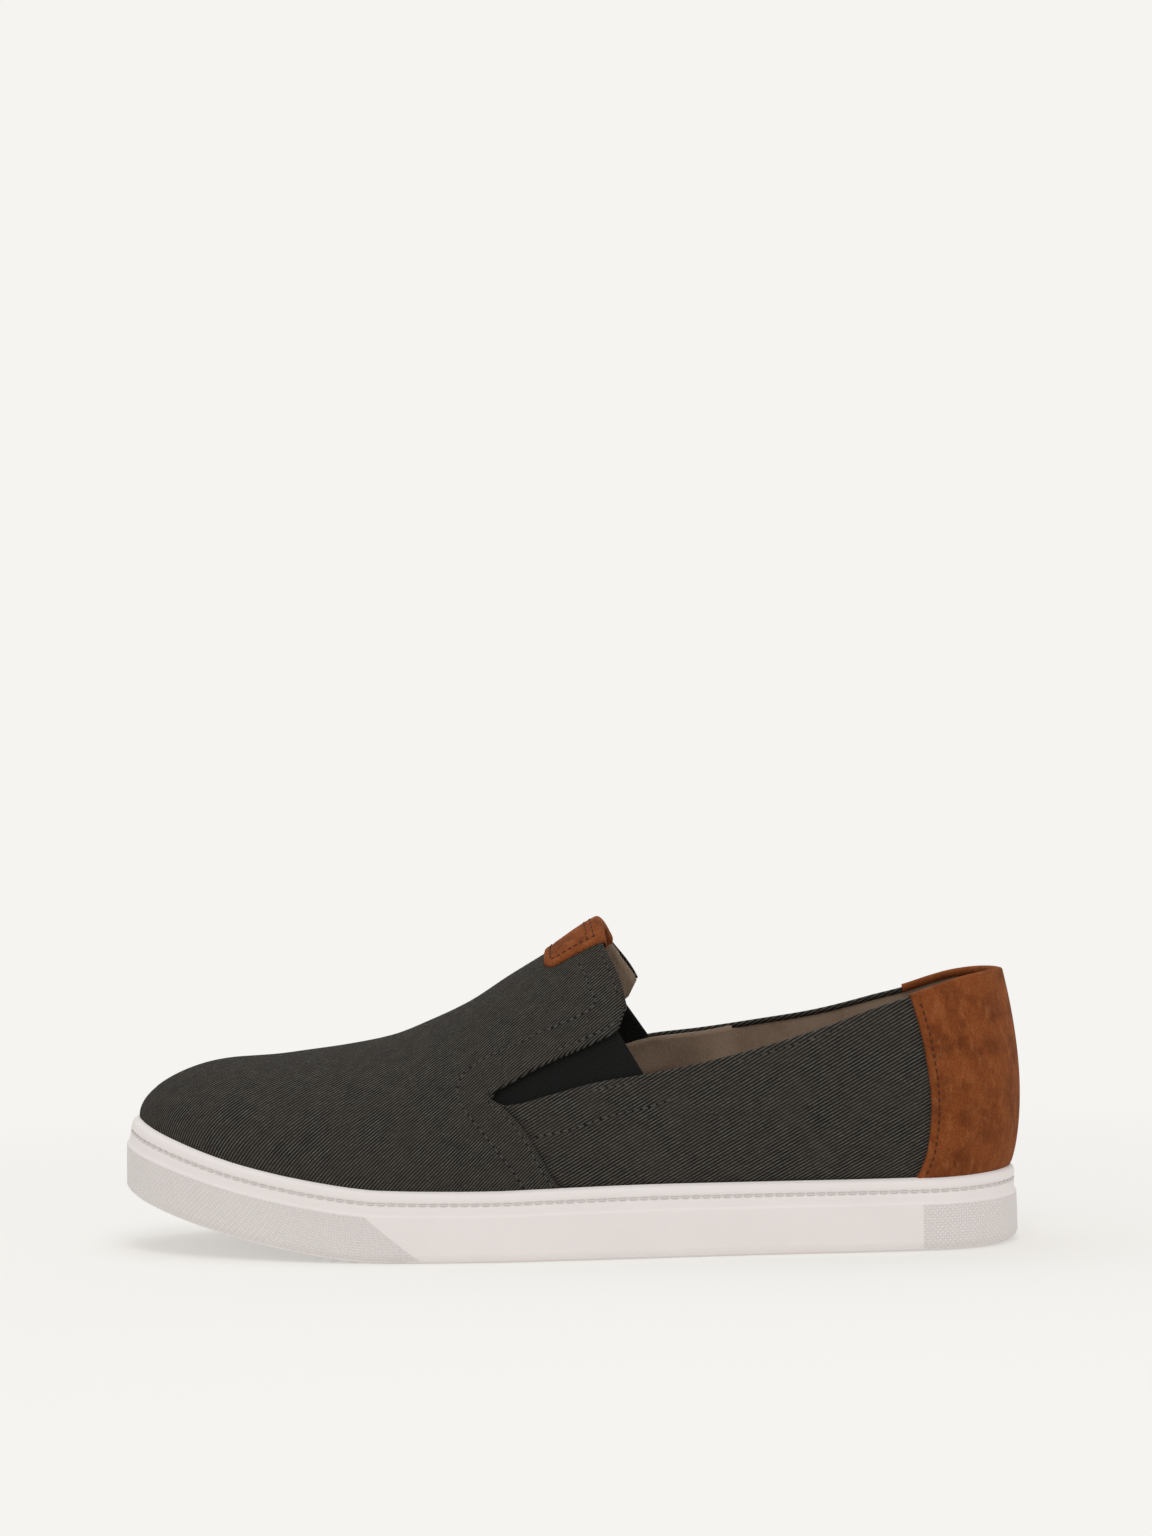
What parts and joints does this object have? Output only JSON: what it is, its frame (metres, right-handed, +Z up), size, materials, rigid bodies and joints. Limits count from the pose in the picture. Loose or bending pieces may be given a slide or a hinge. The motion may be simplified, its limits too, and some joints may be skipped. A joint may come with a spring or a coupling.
{
  "type": "slip-on shoe",
  "caption": "Left slip-on shoe of grey canvas: elastic side gores, suede heel patch and tongue tab, open collar, white rubber cup sole with a stepped, stitched sidewall.",
  "frame": {"origin": "on the floor, under the middle of the shoe's bounding box", "axes": "+X from toe to heel, +Y to the inner side of the foot, +Z up"},
  "size_m": [0.3004, 0.108, 0.1087],
  "materials": {
    "sole_rubber": "matt pale rubber, faintly pink",
    "footbed": "soft beige lining over foam",
    "grey_twill": "charcoal cotton twill with fine slanted ribs",
    "ribbed_elastic": "fine ribbed black elastic",
    "brown_suede": "mottled tan-brown suede nap"
  },
  "bodies": {
    "root": {"outsole": "sole_rubber", "insole": "footbed", "upper": "grey_twill", "elastic_lateral": "ribbed_elastic", "elastic_medial": "ribbed_elastic", "heel_patch": "brown_suede", "tongue_tab": "brown_suede"}
  },
  "joints": []
}
